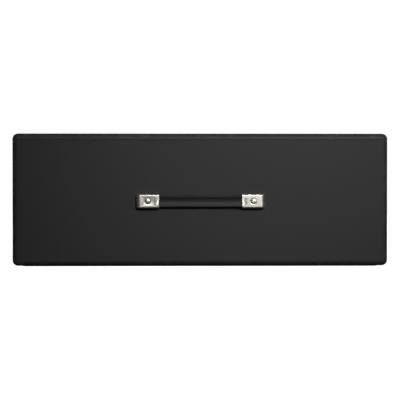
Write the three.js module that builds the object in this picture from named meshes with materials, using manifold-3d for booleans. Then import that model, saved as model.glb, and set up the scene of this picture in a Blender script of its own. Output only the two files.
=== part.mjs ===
// A rectangular travel hat box: a plywood case covered in black leatherette, with a hinged board lid held
// shut by hidden magnets, a satin lining, an oval collar for the crown of the hat, and a sprung strap handle
// whose two ends slide in nickel-plated steel caps on the front wall.
//
// Millimetres, +Z up. The front wall, with the handle, faces -Y. The origin is on the surface that the box
// stands on, under the middle of its overall length and width.
import * as THREE from "three";
import { mergeVertices } from "three/addons/utils/BufferGeometryUtils.js";
import Module from "manifold-3d";

// ---- Driving dimensions ----------------------------------------------------------------------------------

// The closed box, outside its covering.
const WIDTH = 480;
const DEPTH = 400;
const HEIGHT = 170;
const CORNER_R = 7; // upright corners, seen from above
const EDGE_R = 6.5; // top and bottom edges

// Sheet materials.
const COVER = 1; // leatherette
const WALL = 8; // plywood of the four walls
const FLOOR = 6; // plywood of the floor
const LID_BOARD = 6; // plywood of the lid
const LINING = 4; // card, wadding and satin on the walls
const FLOOR_PAD = 7;
const LID_PAD = 8;
const UNDERSIDE = 0.8; // felt sheet that the box stands on

// Clearances.
const GLUE = 0.1; // between pieces that are glued or screwed together
const RUN = 0.1; // around pins and screws
const SEAM = 0.3; // between the lid and the rim of the walls

// How far the covering is turned in.
const RIM_TURN = 12; // down the inside of the walls
const UNDER_TURN = 20; // under the floor
const LID_TURN = 16; // under the lid
const UNDERSIDE_INSET = 12; // from the outside of the box to the edge of the underside sheet
const LINING_DROP = 3; // from the rim down to the top of the wall lining
const PAD_CLEARANCE = 3; // around the lid pad, inside the wall lining

// Oval collar that the crown of the hat hangs in.
const COLLAR_LENGTH = 232;
const COLLAR_WIDTH = 200;
const COLLAR_HEIGHT = 92;
const COLLAR_WALL = 6;
const COLLAR_ROUND = 2.4; // its rolled top and bottom edges

// Butt hinges, let in between the lid and the back wall.
const HINGE_SPAN = 300; // middle to middle
const LEAF_LENGTH = 40;
const LEAF_WIDTH = 8;
const LEAF = 1;
const KNUCKLES = 5;
const KNUCKLE_GAP = 0.2;
const BARREL_R = 2.3;
const PIN_R = 1.2;
const BARREL_CLEARANCE = 0.3; // from the barrel to the back of the covering
const LEAF_SCREW_PITCH = 24;
const LEAF_SCREW = { headR: 1.8, headDepth: 0.8, shankR: 0.8, slot: 0.5 };
const SCREW_INTO_WALL = 9;
const SCREW_INTO_LID = 5;

// Magnets in the front wall, and the steel discs in the lid that they hold.
const MAGNET_PITCH = 170;
const MAGNETS = 3;
const MAGNET_WOOD = 1; // left in the wall's edge on each side of a magnet
const MAGNET_DEPTH = 4;
const KEEPER_RIM = 0.6; // how far a disc reaches out past its magnet
const KEEPER_DEPTH = 1.5;

// Strap handle, on the middle of the front wall.
const HANDLE_LENGTH = 164; // over the two caps
const HANDLE_Z = 83.5;
const CAP_LENGTH = 29;
const CAP_WIDTH = 18;
const CAP_HEIGHT = 7.4;
const CAP_STEEL = 0.8;
const CAP_NOSE = 6.5; // length of the curved outer end
const CAP_ROLL = 2.2; // radius along its long edges
const CAP_SCREW_IN = 14.6; // from the outer end to the screw
const DIMPLE = { topR: 4.6, bottomR: 2.9, depth: 1.2 };
const PRESSING = { length: 3.9, width: 9, depth: 0.4, fromMouth: 2.7 }; // stamped panel next to the mouth
const HANDLE_SCREW = { headR: 3.7, crown: 0.9, shankR: 2, slotWidth: 0.9, slotDepth: 0.8 };
const STRAP_WIDTH = 16;
const STRAP_STANDOFF = 1.2;
const STRAP = 4.4;
const STRAP_RIM = 3; // raised border along each side
const STRAP_CHANNEL = 1; // depth of the hollow between the borders
const STRAP_ROUND = 1.2;
const STRAP_LIFT = 20;
const STRAP_ARM = 40; // between the bends at the ends of each sloping stretch
const STRAP_TIP = 5; // from the outer end of the cap to the end of the strap
const TEE_NUT = { flangeR: 8, flange: 0.8, barrelR: 3, short: 1 }; // short of the outside of the wall's board

// ---- Levels and places worked out from them --------------------------------------------------------------

const LID = LID_BOARD + 2 * (COVER + GLUE);
const LID_Z = HEIGHT - LID;
const RIM_Z = LID_Z - SEAM;
const CASE_Z = UNDERSIDE + GLUE;
const BOARD_IN = COVER + GLUE; // from the outside of the box to the outside of the boards
const FLOOR_Z = CASE_Z + BOARD_IN;
const WALL_IN = BOARD_IN + WALL; // to the inside of the wall boards
const LIP_IN = WALL_IN + GLUE + COVER; // to the inside of the turned-in covering
const LINING_IN = LIP_IN + GLUE;
const CAVITY_IN = LINING_IN + LINING;
const WALL_TOP = RIM_Z - BOARD_IN;
const PAD_Z = FLOOR_Z + FLOOR + GLUE;
const CAVITY_Z = PAD_Z + FLOOR_PAD;
const LINING_TOP = RIM_Z - LINING_DROP;
const PIN_Z = RIM_Z + SEAM / 2;
const PIN_Y = DEPTH / 2 + BARREL_CLEARANCE + BARREL_R;
const FRONT_Y = -DEPTH / 2;
const BACK_Y = DEPTH / 2;
const HINGE_REACH = BARREL_CLEARANCE + 2 * BARREL_R;
const HANDLE_REACH = CAP_HEIGHT + HANDLE_SCREW.crown;
const CAP_SCREW_X = HANDLE_LENGTH / 2 - CAP_SCREW_IN;
const MOUTH_X = HANDLE_LENGTH / 2 - CAP_LENGTH;
const BEND = Math.asin(STRAP_LIFT / STRAP_ARM);
const BEND_GAP = STRAP * Math.tan(BEND / 2) + 2 * RUN; // so that two lengths can turn without touching
const STRAP_SLIDE = STRAP_ARM * (1 - Math.cos(BEND));
const TEE_NUT_IN = BOARD_IN + TEE_NUT.short;
const ALL = 2 * (WIDTH + DEPTH + HEIGHT); // longer than anything here

// ---- Finishes --------------------------------------------------------------------------------------------

const finish = (color, roughness, metalness = 0) =>
  new THREE.MeshStandardMaterial({ color, roughness, metalness });
const LEATHERETTE = finish(0x1b1b1d, 0.55);
const PLYWOOD = finish(0xc39a6b, 0.7);
const SATIN = finish(0xb9ab96, 0.5);
const FELT = finish(0x141414, 0.95);
const NICKEL = finish(0xc9c6bd, 0.25, 1);
const STEEL = finish(0x8f9296, 0.4, 1);
const VINYL = finish(0x17171a, 0.45);

// ---- Shared ways of making solids ------------------------------------------------------------------------

const wasm = await Module();
wasm.setup();
const hatBox = new THREE.Group();

// A closed three.js geometry as a solid that can be joined and cut.
function solid(geometry) {
  const bare = geometry.clone();
  bare.deleteAttribute("normal");
  bare.deleteAttribute("uv");
  const merged = mergeVertices(bare, 1e-4);
  const triVerts = new Uint32Array(merged.index.array);
  return new wasm.Manifold(
    new wasm.Mesh({ numProp: 3, vertProperties: merged.attributes.position.array, triVerts }),
  );
}

// Adds a solid to the model as a named mesh.
function place(name, made, material) {
  const { vertProperties, triVerts } = made.getMesh();
  const geometry = new THREE.BufferGeometry();
  geometry.setAttribute("position", new THREE.BufferAttribute(vertProperties, 3));
  geometry.setIndex(new THREE.BufferAttribute(triVerts, 1));
  const flat = geometry.toNonIndexed();
  flat.computeVertexNormals();
  const mesh = new THREE.Mesh(flat, material);
  mesh.name = name;
  hatBox.add(mesh);
}

function block([x0, x1], [y0, y1], [z0, z1]) {
  const geometry = new THREE.BoxGeometry(x1 - x0, y1 - y0, z1 - z0);
  return solid(geometry.translate((x0 + x1) / 2, (y0 + y1) / 2, (z0 + z1) / 2));
}

// The block that lies a given way in from the box's four sides.
const inside = (inset, z) =>
  block([inset - WIDTH / 2, WIDTH / 2 - inset], [inset - DEPTH / 2, DEPTH / 2 - inset], z);

function roundedOutline(width, depth, r) {
  const x = width / 2 - r;
  const y = depth / 2 - r;
  const outline = new THREE.Shape();
  outline.absarc(x, y, r, 0, Math.PI / 2);
  outline.absarc(-x, y, r, Math.PI / 2, Math.PI);
  outline.absarc(-x, -y, r, Math.PI, 1.5 * Math.PI);
  outline.absarc(x, -y, r, 1.5 * Math.PI, 2 * Math.PI);
  return outline;
}

// A block with round upright corners and round top and bottom edges.
function roundedBlock(width, depth, [z0, z1], cornerR, edgeR) {
  const geometry = new THREE.ExtrudeGeometry(roundedOutline(width, depth, cornerR), {
    depth: z1 - z0 - 2 * edgeR,
    bevelThickness: edgeR,
    bevelSize: edgeR,
    bevelOffset: -edgeR,
    bevelSegments: 4,
    curveSegments: 4,
  });
  return solid(geometry.translate(0, 0, z0 + edgeR));
}

// The outside of the whole box, taken in by a given amount.
const boxShape = (inset, z) =>
  roundedBlock(WIDTH - 2 * inset, DEPTH - 2 * inset, z, CORNER_R - inset, EDGE_R - inset);

// A flat sheet with round corners.
function sheet(width, depth, [z0, z1], r) {
  const geometry = new THREE.ExtrudeGeometry(roundedOutline(width, depth, r), {
    depth: z1 - z0,
    bevelEnabled: false,
    curveSegments: 4,
  });
  return solid(geometry.translate(0, 0, z0));
}

// A solid of revolution about +Z from a profile of [radius, z] that runs upwards.
function turned(profile, segments = 16) {
  const points = profile.map(([r, z]) => new THREE.Vector2(r, z));
  return solid(new THREE.LatheGeometry(points, segments).rotateX(Math.PI / 2));
}

const rod = (r, [z0, z1], segments = 16) =>
  turned(
    [
      [0, z0],
      [r, z0],
      [r, z1],
      [0, z1],
    ],
    segments,
  );

// Points on a quarter of an ellipse from [x + a, y] round to [x, y + b].
function quarter([x, y], a, b, steps) {
  return Array.from({ length: steps + 1 }, (_, i) => {
    const t = (i / steps) * (Math.PI / 2);
    return [x + a * Math.cos(t), y + b * Math.sin(t)];
  });
}

const SIDES = [
  { side: "left", sign: -1 },
  { side: "right", sign: 1 },
];

// ---- Strap handle ----------------------------------------------------------------------------------------
// Each piece is made along +X from the middle of the handle, with y across it and z out from the wall.

function onFront(made, sign) {
  const turnedRound = sign < 0 ? made.rotate([0, 0, 180]) : made;
  return turnedRound.rotate([90, 0, 0]).translate([0, FRONT_Y, HANDLE_Z]);
}

// Outside of a cap, or its inside when it is taken in by the steel, carried on past its mouth and its foot.
function capHood(inset) {
  const past = CAP_HEIGHT;
  const top = CAP_HEIGHT - inset;
  const end = HANDLE_LENGTH / 2 - inset;
  const roll = CAP_ROLL - inset;
  const view = new THREE.Shape();
  view.moveTo(MOUTH_X - past, -past);
  view.lineTo(end, -past);
  view.lineTo(end, 0);
  view.absellipse(HANDLE_LENGTH / 2 - CAP_NOSE, 0, CAP_NOSE - inset, top, 0, Math.PI / 2);
  view.lineTo(MOUTH_X - past, top);
  const geometry = new THREE.ExtrudeGeometry(view, {
    depth: CAP_WIDTH - 2 * inset - 2 * roll,
    bevelThickness: roll,
    bevelSize: roll,
    bevelOffset: -roll,
    bevelSegments: 4,
    curveSegments: 8,
  });
  return solid(geometry.rotateX(Math.PI / 2).translate(0, CAP_WIDTH / 2 - inset - roll, 0));
}

// The dimple that takes the screw's head, or its underside when it is grown by the thickness of the steel.
function dimple(grow) {
  const { topR, bottomR, depth } = DIMPLE;
  return turned([
    [0, -depth],
    [bottomR + grow, -depth],
    [topR + grow, 0],
    [topR + grow, CAP_HEIGHT],
    [0, CAP_HEIGHT],
  ]);
}

function handleCap() {
  const room = block([MOUTH_X, HANDLE_LENGTH], [-CAP_WIDTH, CAP_WIDTH], [GLUE, CAP_HEIGHT]);
  const underDimple = dimple(CAP_STEEL).translate([CAP_SCREW_X, 0, CAP_HEIGHT - CAP_STEEL]);
  const belowTop = block([0, HANDLE_LENGTH], [-CAP_WIDTH, CAP_WIDTH], [0, CAP_HEIGHT - CAP_STEEL / 2]);
  const { length, width, depth, fromMouth } = PRESSING;
  const pressing = block([0, length], [-width / 2, width / 2], [CAP_HEIGHT - depth, 2 * CAP_HEIGHT]);
  return capHood(0)
    .intersect(room)
    .subtract(capHood(CAP_STEEL))
    .add(underDimple.intersect(belowTop))
    .subtract(dimple(0).translate([CAP_SCREW_X, 0, CAP_HEIGHT]))
    .subtract(rod(HANDLE_SCREW.shankR + RUN, [0, CAP_HEIGHT]).translate([CAP_SCREW_X, 0, 0]))
    .subtract(pressing.translate([MOUTH_X + fromMouth, 0, 0]));
}

// Oval-head machine screw that holds a cap and runs through the slot in the strap.
function handleScrew() {
  const { headR, crown, shankR, slotWidth, slotDepth } = HANDLE_SCREW;
  const end = -(WALL_IN + GLUE + TEE_NUT.flange);
  const seat = CAP_HEIGHT - DIMPLE.depth + RUN;
  const top = CAP_HEIGHT + crown;
  const seatR = DIMPLE.bottomR - 3 * RUN;
  const dome = quarter([0, CAP_HEIGHT], headR, crown, 4);
  const outline = [[0, end], [shankR, end], [shankR, seat], [seatR, seat], ...dome.slice(0, -1), [0, top]];
  const slot = block([-headR, headR], [-slotWidth / 2, slotWidth / 2], [top - slotDepth, 2 * top]);
  return turned(outline).subtract(slot).translate([CAP_SCREW_X, 0, 0]);
}

// Nut with a wide flange, driven into the wall from the inside.
function teeNut() {
  const { flangeR, flange, barrelR } = TEE_NUT;
  const back = -(WALL_IN + GLUE);
  const plate = rod(flangeR, [back - flange, back]);
  const barrel = rod(barrelR, [back - flange, -TEE_NUT_IN]);
  const bore = rod(HANDLE_SCREW.shankR + RUN, [2 * back, 0]);
  return plate.add(barrel).subtract(bore).translate([CAP_SCREW_X, 0, 0]);
}

// Section across the strap: round-edged borders with a hollow between them.
function strapSection() {
  const half = STRAP_WIDTH / 2;
  const top = STRAP_STANDOFF + STRAP;
  const r = STRAP_ROUND;
  const hollow = half - STRAP_RIM;
  const section = new THREE.Shape();
  section.absarc(half - r, STRAP_STANDOFF + r, r, -Math.PI / 2, 0);
  section.absarc(half - r, top - r, r, 0, Math.PI / 2);
  section.lineTo(hollow, top);
  section.quadraticCurveTo(0, top - 2 * STRAP_CHANNEL, -hollow, top);
  section.absarc(-half + r, top - r, r, Math.PI / 2, Math.PI);
  section.absarc(-half + r, STRAP_STANDOFF + r, r, Math.PI, 1.5 * Math.PI);
  return section;
}

// A length of the strap between two places along X. It stands off the wall by its own height over it.
function strapLength(x0, x1) {
  const geometry = new THREE.ExtrudeGeometry(strapSection(), {
    depth: x1 - x0,
    bevelEnabled: false,
    curveSegments: 5,
  });
  const across = new THREE.Vector3(0, 1, 0);
  const outwards = new THREE.Vector3(0, 0, 1);
  const along = new THREE.Vector3(1, 0, 0);
  geometry.applyMatrix4(new THREE.Matrix4().makeBasis(across, outwards, along));
  return solid(geometry.translate(x0, 0, 0));
}

// The end of the strap, with the slot that slides past the screw as the handle is lifted.
function strapEnd() {
  const r = HANDLE_SCREW.shankR + 3 * RUN;
  const tip = HANDLE_LENGTH / 2 - STRAP_TIP;
  const round = (x) => rod(r, [0, CAP_HEIGHT]).translate([x, 0, 0]);
  const slot = block([CAP_SCREW_X, CAP_SCREW_X + STRAP_SLIDE], [-r, r], [0, CAP_HEIGHT])
    .add(round(CAP_SCREW_X))
    .add(round(CAP_SCREW_X + STRAP_SLIDE));
  return strapLength(MOUTH_X + BEND_GAP / 2, tip).subtract(slot);
}

function handle() {
  const armEnd = MOUTH_X - STRAP_ARM;
  for (const { side, sign } of SIDES) {
    place(`handle_cap_${side}`, onFront(handleCap(), sign), NICKEL);
    place(`handle_screw_${side}`, onFront(handleScrew(), sign), NICKEL);
    place(`handle_tee_nut_${side}`, onFront(teeNut(), sign), STEEL);
    place(`strap_end_${side}`, onFront(strapEnd(), sign), VINYL);
    const arm = strapLength(armEnd + BEND_GAP / 2, MOUTH_X - BEND_GAP / 2);
    place(`strap_arm_${side}`, onFront(arm, sign), VINYL);
  }
  const grip = armEnd - BEND_GAP / 2;
  place("strap_grip", onFront(strapLength(-grip, grip), 1), VINYL);
}

// ---- Hinges ----------------------------------------------------------------------------------------------

const HINGES = SIDES.map(({ side, sign }) => ({ side, x: (sign * HINGE_SPAN) / 2 }));
const SCREW_Y = BACK_Y - LEAF_WIDTH / 2;

// Where the screws of a hinge are, along X.
const leafScrews = (x) => [x - LEAF_SCREW_PITCH / 2, x + LEAF_SCREW_PITCH / 2];

// Countersunk wood screw with its head up at z 0, or the hole that it goes in when it is grown.
function screwShape({ headR, headDepth, shankR }, length, grow) {
  const tip = -length - grow;
  const r = shankR + grow;
  const outline = [
    [0, tip],
    [r / 2, tip],
    [r, tip + 2 * shankR],
    [r, -headDepth],
    [headR + grow, 0],
    [0, 0],
  ];
  return turned(outline, 12);
}

function woodScrew(screw, length) {
  const { headR, headDepth, slot } = screw;
  const drive = block([-headR / 2, headR / 2], [-slot / 2, slot / 2], [-headDepth / 2, headDepth]);
  return screwShape(screw, length, 0).subtract(drive);
}

// Puts a screw or a hole on the rim of the wall, or upside down on the underside of the lid.
const onLeaf = (made, x, up) =>
  (up ? made.rotate([180, 0, 0]) : made).translate([x, SCREW_Y, up ? LID_Z : RIM_Z]);

function leafHoles(x, up) {
  const hole = screwShape(LEAF_SCREW, up ? SCREW_INTO_LID : SCREW_INTO_WALL, RUN);
  const [first, second] = leafScrews(x).map((at) => onLeaf(hole, at, up));
  return first.add(second);
}

// Room for a leaf, let into the top of the back wall or into the underside of the lid.
function leafRecess(x, up) {
  const half = LEAF_LENGTH / 2 + RUN;
  const z = up ? [LID_Z - SEAM / 2, LID_Z + LEAF + GLUE] : [RIM_Z - LEAF - GLUE, RIM_Z + SEAM / 2];
  return block([x - half, x + half], [BACK_Y - LEAF_WIDTH - RUN, BACK_Y + BARREL_R], z);
}

// Lays a rod that was made along Z on the hinge line.
const onPin = (made) => made.rotate([0, 90, 0]).translate([0, PIN_Y, PIN_Z]);

// One leaf with its share of the knuckles: the even ones on the wall, the odd ones on the lid.
function leaf(x, up) {
  const z = up ? [LID_Z, LID_Z + LEAF] : [RIM_Z - LEAF, RIM_Z];
  const pitch = LEAF_LENGTH / KNUCKLES;
  let made = block([x - LEAF_LENGTH / 2, x + LEAF_LENGTH / 2], [BACK_Y - LEAF_WIDTH, BACK_Y], z);
  for (let i = up ? 1 : 0; i < KNUCKLES; i += 2) {
    const x0 = x - LEAF_LENGTH / 2 + i * pitch + (i > 0 ? KNUCKLE_GAP / 2 : 0);
    const x1 = x - LEAF_LENGTH / 2 + (i + 1) * pitch - (i < KNUCKLES - 1 ? KNUCKLE_GAP / 2 : 0);
    made = made.add(onPin(rod(BARREL_R, [x0, x1]))).add(block([x0, x1], [BACK_Y - LEAF, PIN_Y], z));
  }
  return made.subtract(onPin(rod(PIN_R + RUN, [-ALL, ALL]))).subtract(leafHoles(x, up));
}

function hinges() {
  for (const { side, x } of HINGES) {
    place(`hinge_${side}_wall_leaf`, leaf(x, false), NICKEL);
    place(`hinge_${side}_lid_leaf`, leaf(x, true), NICKEL);
    place(`hinge_${side}_pin`, onPin(rod(PIN_R, [x - LEAF_LENGTH / 2, x + LEAF_LENGTH / 2])), STEEL);
    leafScrews(x).forEach((at, i) => {
      const wallScrew = onLeaf(woodScrew(LEAF_SCREW, SCREW_INTO_WALL), at, false);
      const lidScrew = onLeaf(woodScrew(LEAF_SCREW, SCREW_INTO_LID), at, true);
      place(`hinge_${side}_wall_screw_${i + 1}`, wallScrew, NICKEL);
      place(`hinge_${side}_lid_screw_${i + 1}`, lidScrew, NICKEL);
    });
  }
}

// ---- Magnets and their steel discs -----------------------------------------------------------------------

const MAGNET_X = Array.from({ length: MAGNETS }, (_, i) => (i - (MAGNETS - 1) / 2) * MAGNET_PITCH);
const MAGNET_Y = FRONT_Y + BOARD_IN + WALL / 2;
const MAGNET_R = WALL / 2 - MAGNET_WOOD;
const KEEPER_R = MAGNET_R + KEEPER_RIM;

// A magnet, or the hole that it goes in when it is grown, which is open at the top of the board.
function magnet(x, grow) {
  const made = rod(MAGNET_R + grow, [WALL_TOP - MAGNET_DEPTH - grow, WALL_TOP + grow / 2]);
  return made.translate([x, MAGNET_Y, 0]);
}

// A steel disc, or the hole that it goes in when it is grown, which is open at the underside of the board.
function keeper(x, grow) {
  const z = LID_Z + BOARD_IN;
  return rod(KEEPER_R + grow, [z - grow / 2, z + KEEPER_DEPTH + grow]).translate([x, MAGNET_Y, 0]);
}

function magnets() {
  MAGNET_X.forEach((x, i) => {
    place(`magnet_${i + 1}`, magnet(x, 0), STEEL);
    place(`magnet_keeper_${i + 1}`, keeper(x, 0), STEEL);
  });
}

// ---- Case: boards, covering and lining -------------------------------------------------------------------

// Drills the front wall for the handle's screws and nuts, and for the magnets.
function cutFront(made) {
  const hole = rod(HANDLE_SCREW.shankR + RUN, [-LINING_IN, STRAP_STANDOFF]);
  const nutHole = rod(TEE_NUT.barrelR + RUN, [-LINING_IN, RUN - TEE_NUT_IN]);
  const both = hole.add(nutHole).translate([CAP_SCREW_X, 0, 0]);
  const drilled = SIDES.reduce((left, { sign }) => left.subtract(onFront(both, sign)), made);
  return MAGNET_X.reduce((left, x) => left.subtract(magnet(x, RUN)), drilled);
}

// Lets the hinges into the back wall or into the lid.
const cutHinges = (made, up) =>
  HINGES.reduce((left, { x }) => left.subtract(leafRecess(x, up)).subtract(leafHoles(x, up)), made);

function boards() {
  const core = boxShape(BOARD_IN, [FLOOR_Z, ALL / 2]).intersect(inside(BOARD_IN, [FLOOR_Z, WALL_TOP]));
  const ring = core.subtract(inside(WALL_IN, [0, HEIGHT]));
  const x = WIDTH / 2 - WALL_IN;
  const y = DEPTH / 2 - WALL_IN;
  const everyX = [-WIDTH, WIDTH];
  const sideY = [GLUE - y, y - GLUE];
  place("front_board", cutFront(ring.intersect(block(everyX, [-DEPTH, -y], [0, HEIGHT]))), PLYWOOD);
  place("back_board", cutHinges(ring.intersect(block(everyX, [y, DEPTH], [0, HEIGHT])), false), PLYWOOD);
  place("left_board", ring.intersect(block([-WIDTH, -x], sideY, [0, HEIGHT])), PLYWOOD);
  place("right_board", ring.intersect(block([x, WIDTH], sideY, [0, HEIGHT])), PLYWOOD);
  place("floor_board", inside(WALL_IN + GLUE, [FLOOR_Z, FLOOR_Z + FLOOR]), PLYWOOD);
}

// The leatherette: up the outside of the walls, over the rim and down inside, and turned under the floor.
function bodyCover() {
  const skin = boxShape(0, [CASE_Z, ALL / 2])
    .intersect(inside(0, [CASE_Z, RIM_Z]))
    .subtract(boxShape(COVER, [CASE_Z + COVER, ALL / 2]).intersect(inside(COVER, [0, RIM_Z - COVER])))
    .subtract(inside(UNDER_TURN, [0, CASE_Z + 2 * COVER]))
    .subtract(inside(LIP_IN, [RIM_Z - 2 * COVER, HEIGHT]));
  const lip = inside(WALL_IN + GLUE, [RIM_Z - RIM_TURN, RIM_Z - COVER / 2])
    .subtract(inside(LIP_IN, [0, HEIGHT]));
  place("body_cover", cutHinges(cutFront(skin.add(lip)), false), LEATHERETTE);
  const size = [WIDTH, DEPTH].map((across) => across - 2 * UNDERSIDE_INSET);
  place("underside_sheet", sheet(...size, [0, UNDERSIDE], EDGE_R), FELT);
}

function lining() {
  const x = WIDTH / 2 - LINING_IN;
  const y = DEPTH / 2 - LINING_IN;
  const z = [PAD_Z, LINING_TOP];
  const sideY = [LINING + GLUE - y, y - LINING - GLUE];
  place("front_lining", block([-x, x], [-y, LINING - y], z), SATIN);
  place("back_lining", block([-x, x], [y - LINING, y], z), SATIN);
  place("left_lining", block([-x, LINING - x], sideY, z), SATIN);
  place("right_lining", block([x - LINING, x], sideY, z), SATIN);
  place("floor_pad", inside(CAVITY_IN + GLUE, [PAD_Z, CAVITY_Z]), SATIN);
}

function hatCollar() {
  const oval = (width, depth) => new THREE.Shape().absellipse(0, 0, width / 2, depth / 2, 0, 2 * Math.PI);
  const ring = oval(COLLAR_LENGTH, COLLAR_WIDTH);
  ring.holes.push(oval(COLLAR_LENGTH - 2 * COLLAR_WALL, COLLAR_WIDTH - 2 * COLLAR_WALL));
  const geometry = new THREE.ExtrudeGeometry(ring, {
    depth: COLLAR_HEIGHT - 2 * COLLAR_ROUND,
    bevelThickness: COLLAR_ROUND,
    bevelSize: COLLAR_ROUND,
    bevelOffset: -COLLAR_ROUND,
    bevelSegments: 2,
    curveSegments: 24,
  });
  place("hat_collar", solid(geometry.translate(0, 0, CAVITY_Z + GLUE + COLLAR_ROUND)), SATIN);
}

// ---- Lid -------------------------------------------------------------------------------------------------

function lid() {
  const cover = boxShape(0, [-ALL / 2, HEIGHT])
    .intersect(inside(0, [LID_Z, HEIGHT]))
    .subtract(boxShape(COVER, [-ALL / 2, HEIGHT - COVER]).intersect(inside(COVER, [LID_Z + COVER, HEIGHT])))
    .subtract(inside(LID_TURN, [0, LID_Z + 2 * COVER]));
  place("lid_cover", cutHinges(cover, true), LEATHERETTE);
  const board = boxShape(BOARD_IN, [-ALL / 2, HEIGHT - BOARD_IN])
    .intersect(inside(BOARD_IN, [LID_Z + BOARD_IN, HEIGHT]));
  const drilled = MAGNET_X.reduce((left, x) => left.subtract(keeper(x, RUN)), board);
  place("lid_board", cutHinges(drilled, true), PLYWOOD);
  const inset = CAVITY_IN + PAD_CLEARANCE;
  place("lid_pad", inside(inset, [LID_Z - GLUE - LID_PAD, LID_Z - GLUE]), SATIN);
}

// ---- The whole box ---------------------------------------------------------------------------------------

boards();
bodyCover();
lining();
hatCollar();
lid();
hinges();
magnets();
handle();
hatBox.position.y = (HANDLE_REACH - HINGE_REACH) / 2; // centres the overall length on the origin

export default hatBox;
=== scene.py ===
"""The looks of a rectangular travel hat box.

Black leatherette over plywood, a lid hinged at the back, a satin-lined inside with an oval collar for the
crown of a hat, and a sprung strap handle in nickel-plated caps."""

import math

import bmesh
import bpy
import numpy as np
from mathutils import Matrix, Vector


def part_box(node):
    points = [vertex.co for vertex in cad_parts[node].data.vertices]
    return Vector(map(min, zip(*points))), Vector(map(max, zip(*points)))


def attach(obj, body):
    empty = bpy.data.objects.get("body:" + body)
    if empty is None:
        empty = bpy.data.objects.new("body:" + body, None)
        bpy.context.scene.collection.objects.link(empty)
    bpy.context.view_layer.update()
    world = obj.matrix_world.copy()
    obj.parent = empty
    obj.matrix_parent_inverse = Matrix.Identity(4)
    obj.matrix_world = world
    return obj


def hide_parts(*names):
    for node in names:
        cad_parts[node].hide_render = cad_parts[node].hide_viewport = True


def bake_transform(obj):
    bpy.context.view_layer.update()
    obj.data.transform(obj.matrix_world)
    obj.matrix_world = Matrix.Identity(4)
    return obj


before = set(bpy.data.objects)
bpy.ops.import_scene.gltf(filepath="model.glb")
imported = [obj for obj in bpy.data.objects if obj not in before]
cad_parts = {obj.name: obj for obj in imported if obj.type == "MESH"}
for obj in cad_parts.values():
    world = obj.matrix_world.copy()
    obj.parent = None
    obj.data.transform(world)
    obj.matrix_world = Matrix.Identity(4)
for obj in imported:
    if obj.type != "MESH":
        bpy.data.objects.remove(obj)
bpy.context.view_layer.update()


# ---- Covering of the case ---------------------------------------------------------------------------------
# Black vinyl-coated cloth with a pressed pebble grain. It is glued over the plywood, turned over the rim and
# down the inside of the walls, and turned in under the floor.


def near(value, target, reach=1e-6):
    """Whether two lengths differ by less than a reach."""
    return abs(value - target) < reach


def select_only(kind, test):
    """In edit mode, selects just the faces or edges whose middle passes a test."""
    mesh = bpy.context.edit_object.data
    edited = bmesh.from_edit_mesh(mesh)
    bpy.ops.mesh.select_mode(type=kind)
    bpy.ops.mesh.select_all(action="DESELECT")
    for item in edited.faces if kind == "FACE" else edited.edges:
        middle = sum((corner.co for corner in item.verts), Vector()) / len(item.verts)
        item.select_set(bool(test(middle)))
    bmesh.update_edit_mesh(mesh)


def new_block(name, low, high):
    """Adds a block between two corners and goes into edit mode on it."""
    bpy.ops.object.select_all(action="DESELECT")
    bpy.ops.mesh.primitive_cube_add(size=1, location=(low + high) / 2, scale=high - low)
    bpy.ops.object.transform_apply(location=True, rotation=True, scale=True)
    piece = bpy.context.object
    piece.name = name
    bpy.ops.object.mode_set(mode="EDIT")
    return piece


def apply_modifier(piece, kind, **settings):
    """Adds a modifier to a piece with these settings and applies it."""
    modifier = piece.modifiers.new(kind.lower(), kind)
    for name, value in settings.items():
        setattr(modifier, name, value)
    bpy.context.view_layer.objects.active = piece
    bpy.ops.object.modifier_apply(modifier=modifier.name)


def finish_shape(piece, degrees=35, flat_faces=False):
    """Leaves edit mode and shades a piece smooth between its sharp edges, with large faces flat if asked."""
    bpy.ops.object.mode_set(mode="OBJECT")
    bpy.ops.object.select_all(action="DESELECT")
    piece.select_set(True)
    bpy.context.view_layer.objects.active = piece
    bpy.ops.object.shade_smooth_by_angle(angle=math.radians(degrees))
    if flat_faces:
        apply_modifier(piece, "WEIGHTED_NORMAL", keep_sharp=True)


def combine(piece, other, operation):
    """Joins another piece on or cuts its shape out, and uses it up."""
    bpy.ops.object.mode_set(mode="OBJECT")
    bpy.ops.object.select_all(action="DESELECT")
    apply_modifier(piece, "BOOLEAN", operation=operation, solver="EXACT", object=other)
    bpy.data.objects.remove(other)


def cut_away(piece, cutter):
    """Cuts the shape of another piece out of this one."""
    combine(piece, cutter, "DIFFERENCE")


def join_on(piece, extra):
    """Joins the shape of another piece onto this one."""
    combine(piece, extra, "UNION")


def mesh_points(piece):
    """The places of a piece's points, one row each."""
    return np.array([point.co for point in piece.data.vertices])


def store_amount(piece, name, amounts):
    """Stores an amount from 0 to 1 on each point of a piece, for its material to read."""
    stored = piece.data.attributes.new(name, "FLOAT", "POINT")
    stored.data.foreach_set("value", np.clip(amounts, 0, 1).astype(np.float32))


def note_wear(piece, radius, closed_end):
    """Stores how much each point lies on a rounded outer edge, where a covering rubs bare first.

    The closed end is the height of the face opposite the open one."""
    points = mesh_points(piece)
    inwards = np.minimum(points - points.min(0), points.max(0) - points)
    inwards[:, 2] = np.abs(points[:, 2] - closed_end)
    closeness = np.clip(1 - inwards / radius, 0, 1)
    pairs = closeness[:, [0, 0, 1]] * closeness[:, [1, 2, 2]]
    store_amount(piece, "worn", 2 * pairs.max(1))


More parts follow.
